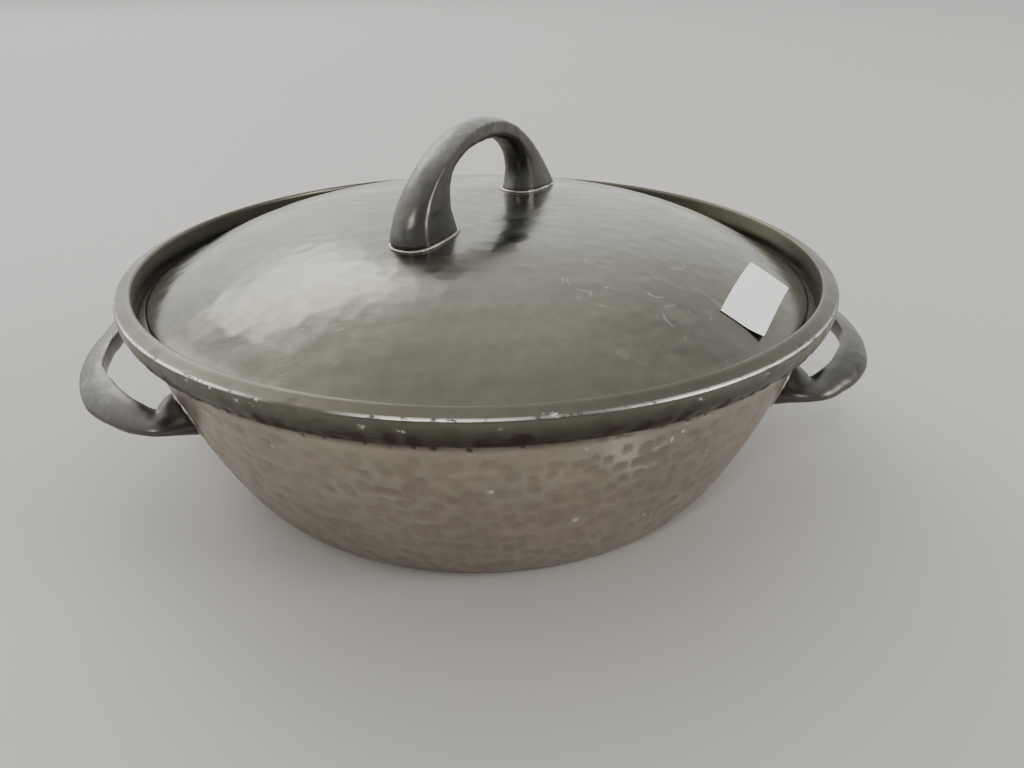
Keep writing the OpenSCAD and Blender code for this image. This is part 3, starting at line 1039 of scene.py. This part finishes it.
def loop_station(t, turn):
    """The loop at t from 0 to 1, from one root to the other."""
    x = (t - 0.5) * 2 * (len(LOOP) - 1)
    side = -1 if x < 0 else 1
    root_z = BAR_Z - ROOT_FALL
    root_u = math.sqrt(bowl.outside(root_z) ** 2 - (LOOP_SPAN / 2 - ROOT_IN) ** 2)

    def spot(knot, way):
        u, v, fall = knot[:3]
        reach = root_u + (BAR_U - root_u) * u
        return np.array((reach, way * v * LOOP_SPAN / 2, BAR_Z - ROOT_FALL * fall))

    here = loop_knot(abs(x))
    near = 0.05
    ahead, behind = abs(x) + near, max(abs(x) - near, 0)
    run = spot(loop_knot(min(ahead, len(LOOP) - 1)), side) - spot(loop_knot(behind), side)
    run *= side
    flat = np.array((run[1], -run[0], 0))
    if abs(x) < near:
        flat = np.array((1.0, 0, 0))
    flat /= np.linalg.norm(flat)
    return (
        turned(spot(here, side), turn),
        turned((0, 0, here[4] * BAR_HEIGHT / 2), 0),
        turned(flat * here[3] * BAR_WIDTH / 2, turn),
    )


class PEWTER_OT_side_handles(bpy.types.Operator):
    """Draw out the two side handles and bend them to their loops"""

    bl_idname = "pewter.side_handles"
    bl_label = "Side handles"

    def execute(self, context):
        metal = cast_pewter()
        for name, turn, seed in (("left", math.pi, 5), ("right", 0.0, 6)):
            count = 42
            piece = straight_bar(f"side_loop_{name}", count, LOOP_SECTION)
            bend_onto(piece, count, lambda t, turn=turn: loop_station(t, turn))
            planish(piece, seed + 10, 7.5 * MM, 0.14 * MM, 240)
            co = points_of(piece)
            r = np.hypot(co[:, 0], co[:, 1])
            wall = np.array([bowl.outside(z) for z in co[:, 2]])
            share = np.maximum(r, wall - 0.8 * MM) / r
            co[:, :2] *= share[:, None]
            co += normals_of(piece) * (0.16 * MM * waver(co, 18 * MM, seed))[:, None]
            move_points(piece, co)
            # Painted shade: the loops are darkened close to the bowl's wall, where they meet it.
            keep_mask(piece, "grime_and_shade", np.clip(1 - (r - wall) / (2.2 * MM), 0, 1))
            keep_mask(piece, "wear_and_highlight", np.clip((r - RIM_R - 4 * MM) / (10 * MM), 0, 1) * 0.1)
            smooth(piece, math.radians(60))
            place(piece, "bowl", "cast_pewter", metal, f"side_handle_{name}")
        return {"FINISHED"}


# ---------------------------------------------------------------- lid, solder and label


GOLDEN_TURN = math.pi * (3 - math.sqrt(5))
STRUCK_AT = -60    # direction in degrees of the patch that has been knocked most
DINTS = 70


class PEWTER_OT_lid(bpy.types.Operator):
    """Raise the lid and planish its dome"""

    bl_idname = "pewter.lid"
    bl_label = "Lid"

    def execute(self, context):
        s = sizes()
        rng = random.Random(s.seed + 3)
        radii = np.linspace(0, LID_R - 0.05 * MM, 70)
        dome = [(r, lid.top(r)) for r in radii]
        edge = dome[-1][1]
        roll = [(LID_R - 0.05 * MM, edge - 0.5 * MM), (LID_R - 0.1 * MM, LID_LOW + 0.5 * MM),
                (LID_R - 0.6 * MM, LID_LOW), (LID_R - 3.2 * MM, LID_LOW),
                (LID_R - 3.5 * MM, LID_LOW + 0.3 * MM)]
        under = [(r, lid.top(r) - s.lid_wall) for r in np.linspace(LID_R - 4 * MM, 0, 22)]
        piece = spin_profile("lid_planished", spaced(dome, 1.3 * MM) + roll + under, 600)
        co, no = points_of(piece), normals_of(piece)
        r = np.hypot(co[:, 0], co[:, 1])
        outer = no[:, 2] > 0.2
        blows = []
        count = int(LID_R**2 * math.pi / (s.facet_size * 0.62) ** 2)
        for k in range(count):
            rr = LID_R * math.sqrt((k + 0.5) / count)
            a = k * GOLDEN_TURN
            a += rng.uniform(-0.35, 0.35) * s.facet_size / max(rr, s.facet_size)
            rr += rng.uniform(-0.25, 0.25) * s.facet_size
            spot = (rr * math.cos(a), rr * math.sin(a), lid.top(min(abs(rr), LID_R - MM)))
            half = s.facet_size / 2 * rng.uniform(0.75, 1.2)
            blows.append((
                spot, *ways_at(a),
                half, half * rng.uniform(0.75, 1.0), s.facet_depth * rng.uniform(0.4, 1.2),
            ))
        depth = np.zeros(len(co))
        depth[outer] = hammer(co[outer], blows, crisp=False)
        dints = []
        for _ in range(DINTS):
            a, rr = math.radians(rng.gauss(STRUCK_AT, 13)), rng.uniform(66, 111) * MM
            tip = rng.uniform(0, math.pi)
            dints.append((
                (rr * math.cos(a), rr * math.sin(a), lid.top(rr)), *ways_at(tip),
                rng.uniform(1.8, 4.2) * MM, rng.uniform(1.6, 3.2) * MM, rng.uniform(0.06, 0.17) * MM,
            ))
        depth[outer] = np.maximum(depth[outer], hammer(co[outer], dints))
        depth *= np.clip((LID_R - r) / (6 * MM), 0, 1)
        uneven = 0.16 * MM * waver(co, 60 * MM, s.seed + 5) * np.clip((LID_R - r) / (20 * MM), 0, 1)
        uneven -= 0.16 * MM * np.clip((LID_R - r) / (20 * MM), 0, 1)
        co[:, 2] += np.where(outer, uneven, 0)
        move_points(piece, co - no * depth[:, None])
        # Painted shade: the lid's outer 2 mm is darkened, where it sits down in the rim.
        keep_mask(piece, "grime_and_shade", np.clip(1 - (LID_R - r) / (2.0 * MM), 0, 1))
        az = np.degrees(np.arctan2(co[:, 1], co[:, 0]))
        struck = np.exp(-((az - STRUCK_AT) / 17) ** 2) * np.exp(-((r - 86 * MM) / (19 * MM)) ** 2)
        keep_mask(piece, "struck", struck * outer)
        smooth(piece)
        place(piece, "lid", "planished_pewter", planished_pewter(), "lid_shell")
        return {"FINISHED"}


LABEL_WAY = math.radians(-31.5)
LABEL_MIDDLE = (86.5 * MM, -59.6 * MM)
LABEL_WIDTH = 14 * MM
LABEL_LENGTH = 46.5 * MM


class PEWTER_OT_small(bpy.types.Operator):
    """Run the solder round each foot and root, and stick on the paper label"""

    bl_idname = "pewter.small"
    bl_label = "Solder and label"

    def execute(self, context):
        solder = solder_metal()

        def over_lid(p):
            return p[2] - lid.top(min(math.hypot(p[0], p[1]), LID_R - MM))

        def lid_normal(p):
            r = math.hypot(p[0], p[1])
            fall = (lid.top(r + MM) - lid.top(r - MM)) / (2 * MM)
            n = np.array((-fall * p[0] / r, -fall * p[1] / r, 1))
            return n / np.linalg.norm(n)

        early = np.linspace(0, 0.3, 60)
        for name, ts in (("back", early), ("front", 1 - early)):
            ring = foot_outline(strap_station, over_lid, ts)
            piece = bead(f"foot_bead_{name}", ring, lid_normal, 0.75 * MM, 20)
            place(piece, "lid", "solder", solder, f"lid_solder_{name}")

        def over_wall(p):
            return math.hypot(p[0], p[1]) - bowl.outside(p[2])

        def wall_normal(p):
            r = math.hypot(p[0], p[1])
            lean = (bowl.outside(p[2] + MM) - bowl.outside(p[2] - MM)) / (2 * MM)
            n = np.array((p[0] / r, p[1] / r, -lean))
            return n / np.linalg.norm(n)

        for side, turn in (("left", math.pi), ("right", 0.0)):
            for end, ts in ((-1, early), (1, 1 - early)):
                where = "front" if end * math.cos(turn) < 0 else "back"
                ring = foot_outline(lambda t: loop_station(t, turn), over_wall, ts)
                piece = bead(f"root_bead_{side}_{where}", ring, wall_normal, 0.8 * MM, 30 + end)
                place(piece, "bowl", "solder", solder, f"solder_{side}_{where}")
        self.stick_label()
        return {"FINISHED"}

    def stick_label(self):
        start_clean()
        bpy.ops.mesh.primitive_grid_add(x_subdivisions=14, y_subdivisions=44, size=1)
        label = bpy.context.object
        label.name = label.data.name = "paper_lot_label"
        co = points_of(label)
        across, along = co[:, 0].copy(), co[:, 1].copy()
        c, s = math.cos(LABEL_WAY), math.sin(LABEL_WAY)
        x = LABEL_MIDDLE[0] + across * LABEL_WIDTH * c - along * LABEL_LENGTH * s
        y = LABEL_MIDDLE[1] + across * LABEL_WIDTH * s + along * LABEL_LENGTH * c
        lift = 1.4 * MM * np.clip(across - along - 0.45, 0, 1) ** 2 / 0.3
        z = np.array([lid.top(math.hypot(a, b)) for a, b in zip(x, y)]) + 0.12 * MM + lift
        move_points(label, np.stack([x, y, z], 1))
        thick = label.modifiers.new("thickness", "SOLIDIFY")
        thick.thickness = 0.18 * MM
        thick.offset = 1
        apply_all(label)
        place(label, "lid", "label_paper", label_paper(), "paper_label")


# ---------------------------------------------------------------- the stage


DISH_MIDDLE = Vector((0, 0, 0.05))
DAYLIGHT = (1, 0.98, 0.95)
# Each light's place and size in metres, and its power in watts
LIGHTS = {
    "back_window": ((-1.6, 3.0, 2.6), (2.4, 1.6), 50),
    "right_window": ((2.0, -0.9, 1.1), (0.8, 0.9), 24),
    "room_lamp": ((-0.7, -1.6, 1.5), (0.3, 0.3), 9),
}
# The room is brightest behind the dish, to its left
BRIGHT_SIDE = Vector((-0.42, 0.85, 0.25)).normalized()


def soft_light(name, place, size, power):
    start_clean()
    bpy.ops.object.light_add(type="AREA", location=place)
    lamp = bpy.context.object
    lamp.name = name
    lamp.data.shape = "RECTANGLE"
    lamp.data.size, lamp.data.size_y = size
    lamp.data.energy = power
    lamp.data.color = DAYLIGHT
    lamp.rotation_euler = (DISH_MIDDLE - lamp.location).to_track_quat("-Z", "Y").to_euler()


class PEWTER_OT_stage(bpy.types.Operator):
    """Set the dish on a pale floor under soft light, with its camera"""

    bl_idname = "pewter.stage"
    bl_label = "Stage"

    def execute(self, context):
        s = context.scene.stage_settings
        start_clean()
        bpy.ops.mesh.primitive_plane_add(size=60, location=(0, 0, -0.05 * MM))
        floor = context.object
        floor.name = "floor"
        bpy.ops.object.transform_apply(location=True)
        board = Metal("pale_floor", s.floor_colour, 0.6)
        board.shader.inputs["Metallic"].default_value = 0.0
        board.tint(board.noise(3, 3), 0.985, 1.0)
        floor.data.materials.append(board.done())
        world = bpy.data.worlds.new("soft_room")
        world.use_nodes = True
        nodes, links = world.node_tree.nodes, world.node_tree.links
        nodes["Background"].inputs["Color"].default_value = (0.97, 0.97, 0.95, 1)
        bright_side = nodes.new("ShaderNodeVectorMath")
        bright_side.operation = "DOT_PRODUCT"
        bright_side.inputs[1].default_value = BRIGHT_SIDE
        links.new(nodes.new("ShaderNodeTexCoord").outputs["Generated"], bright_side.inputs[0])
        glow = nodes.new("ShaderNodeMapRange")
        glow.interpolation_type = "SMOOTHSTEP"
        glow.inputs["From Min"].default_value = -0.5
        glow.inputs["To Min"].default_value = 0.34
        glow.inputs["To Max"].default_value = 1.75
        links.new(bright_side.outputs["Value"], glow.inputs["Value"])
        links.new(glow.outputs["Result"], nodes["Background"].inputs["Strength"])
        context.scene.world = world
        for name, (spot, size, power) in LIGHTS.items():
            soft_light(name, spot, size, power)
        bpy.ops.object.camera_add(
            location=(
                s.camera_distance * math.sin(s.camera_place),
                -s.camera_distance * math.cos(s.camera_place),
                s.camera_height,
            ),
            rotation=(math.pi / 2 - s.camera_tilt, 0, -s.camera_turn),
        )
        camera = context.object
        camera.name = "camera"
        camera.data.sensor_width = 36
        camera.data.lens = s.lens
        camera.data.clip_start = 0.01
        context.scene.camera = camera
        return {"FINISHED"}


class PEWTER_PT_panel(bpy.types.Panel):
    """Lists the dish's pieces"""

    bl_label = "Pewter Dish"
    bl_idname = "PEWTER_PT_panel"
    bl_space_type = "VIEW_3D"
    bl_region_type = "UI"
    bl_category = "Pewter Dish"

    def draw(self, context):
        for group in (context.scene.dish_sizes, context.scene.dish_finish):
            for name in group.__annotations__:
                self.layout.prop(group, name)
        for step in STEPS:
            self.layout.operator(step.bl_idname)


STEPS = (
    PEWTER_OT_bowl, PEWTER_OT_rim, PEWTER_OT_rings, PEWTER_OT_side_handles,
    PEWTER_OT_lid, PEWTER_OT_lid_handle, PEWTER_OT_small, PEWTER_OT_stage,
)
CLASSES = (DishSizes, DishFinish, StageSettings, *STEPS, PEWTER_PT_panel)


def register():
    for cls in CLASSES:
        bpy.utils.register_class(cls)
    bpy.types.Scene.dish_sizes = bpy.props.PointerProperty(type=DishSizes)
    bpy.types.Scene.dish_finish = bpy.props.PointerProperty(type=DishFinish)
    bpy.types.Scene.stage_settings = bpy.props.PointerProperty(type=StageSettings)


def unregister():
    del bpy.types.Scene.stage_settings
    del bpy.types.Scene.dish_finish
    del bpy.types.Scene.dish_sizes
    for cls in reversed(CLASSES):
        bpy.utils.unregister_class(cls)


def main():
    register()
    for step in STEPS:
        group, name = step.bl_idname.split(".")
        getattr(getattr(bpy.ops, group), name)()


if __name__ == "__main__":
    main()
